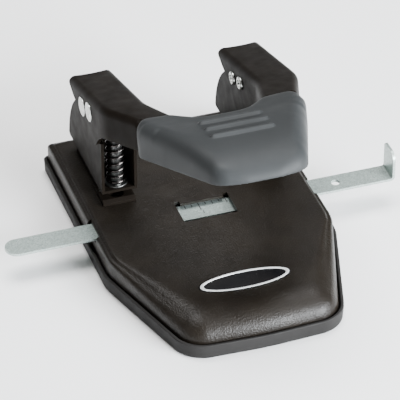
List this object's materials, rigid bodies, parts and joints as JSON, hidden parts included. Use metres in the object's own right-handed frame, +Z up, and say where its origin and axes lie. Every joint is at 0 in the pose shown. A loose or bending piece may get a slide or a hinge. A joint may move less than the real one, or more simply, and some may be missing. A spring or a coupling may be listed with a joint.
{
  "type": "two hole punch",
  "caption": "Heavy desk paper punch with side-by-side punch heads, a broad comfort lever handle, a sliding paper guide and a pull-off chip tray.",
  "frame": {"origin": "on the resting plane, midway between the two punch axes", "axes": "+X to the right along the line through both punches, -Y towards the front where paper goes in, +Z up"},
  "size_m": [0.18, 0.1574, 0.0904],
  "materials": {
    "shell_paint": "fine textured satin paint, brown black",
    "frame_paint": "smooth satin paint, brown black",
    "tray_rubber": "matte moulded rubber, dark warm grey",
    "grip_plastic": "soft satin moulded plastic, mid grey",
    "zinc_plate": "zinc plated, faintly mottled",
    "rivet_steel": "bright plated",
    "tool_steel": "ground tool steel",
    "spring_steel": "oiled spring wire",
    "badge_face": "gloss black with a plain silver rim"
  },
  "bodies": {
    "base": {"base_shell": "shell_paint", "left_tower": "frame_paint", "right_tower": "frame_paint", "left_backstop": "frame_paint", "right_backstop": "frame_paint", "left_die_plate": "frame_paint", "right_die_plate": "frame_paint", "tower_rivets": "rivet_steel", "die_rivets": "rivet_steel", "ruler_keepers": "tool_steel", "ruler_spring": "spring_steel", "name_badge": "badge_face", "left_pivot_spacer": "tool_steel", "right_pivot_spacer": "tool_steel", "left_spring_seat": "tool_steel", "right_spring_seat": "tool_steel", "left_spring": "spring_steel", "right_spring": "spring_steel"},
    "handle": {"handle_yoke": "frame_paint", "handle_grip": "grip_plastic", "grip_screws": "tool_steel", "left_pivot_rivet": "rivet_steel", "right_pivot_rivet": "rivet_steel", "left_drive_rivet": "rivet_steel", "right_drive_rivet": "rivet_steel"},
    "left_punch": {"left_punch_pin": "tool_steel"},
    "right_punch": {"right_punch_pin": "tool_steel"},
    "ruler": {"ruler_guide": "zinc_plate"},
    "tray": {"chip_tray": "tray_rubber"}
  },
  "joints": [
    {"name": "handle_press", "type": "hinge", "parent": "base", "child": "handle", "pos_m": [0, 0.0149, 0.05765], "axis": [1, 0, 0], "range_deg": [0, 32], "stiffness_Nm_per_rad": 1.1, "springref_deg": -25.78},
    {"name": "left_punch_slide", "type": "slide", "parent": "base", "child": "left_punch", "axis": [0, 0, -1], "range_m": [0, 0.0061], "deforming": ["left_spring"]},
    {"name": "right_punch_slide", "type": "slide", "parent": "base", "child": "right_punch", "axis": [0, 0, -1], "range_m": [0, 0.0061], "deforming": ["right_spring"]},
    {"name": "ruler_slide", "type": "slide", "parent": "base", "child": "ruler", "axis": [1, 0, 0], "range_m": [-0.032, 0.032]},
    {"name": "tray_pull", "type": "slide", "parent": "base", "child": "tray", "axis": [0, 0, -1], "range_m": [0, 0.02]}
  ],
  "couplings": [
    {"joint": "left_punch_slide", "follows": "handle_press", "m_per_rad": 0.010563},
    {"joint": "right_punch_slide", "follows": "handle_press", "m_per_rad": 0.010563}
  ]
}
